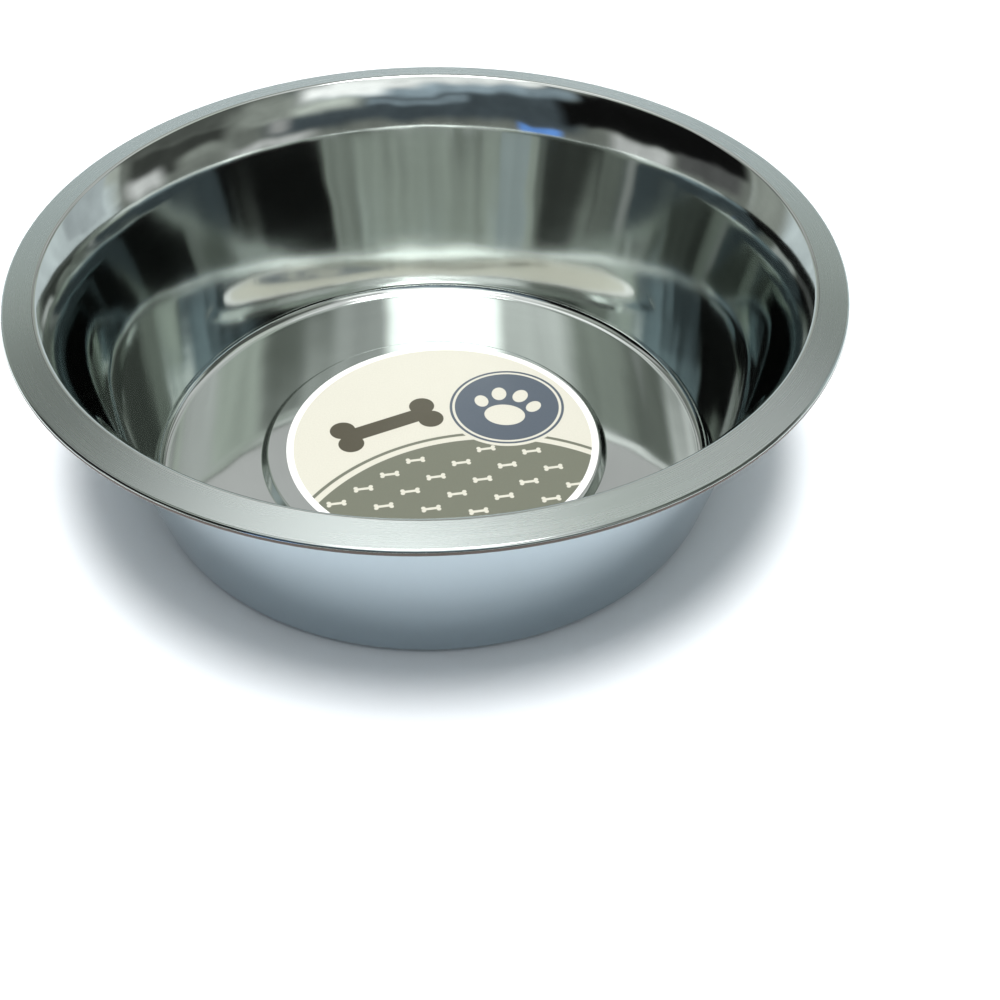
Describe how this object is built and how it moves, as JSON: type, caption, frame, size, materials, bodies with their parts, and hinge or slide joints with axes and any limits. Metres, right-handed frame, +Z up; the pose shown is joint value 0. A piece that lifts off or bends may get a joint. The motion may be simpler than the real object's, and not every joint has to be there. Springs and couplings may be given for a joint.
{
  "type": "metal pet bowl",
  "caption": "Round steel pet bowl with a leaning wall, a sloping flange with a rolled edge, a flat foot ring round a raised centre, and a round label stuck inside.",
  "frame": {"origin": "centre of the foot, on the surface that the bowl stands on", "axes": "+Z up along the bowl's axis of revolution, +X towards the side that the label is shifted to"},
  "size_m": [0.28, 0.28, 0.086],
  "materials": {
    "steel": "mirror polished inside, satin on the flange and outside",
    "label_film": "glossy printed film, cream and olive grey with a white border"
  },
  "bodies": {
    "root": {"dish": "steel", "label": "label_film"}
  },
  "joints": []
}
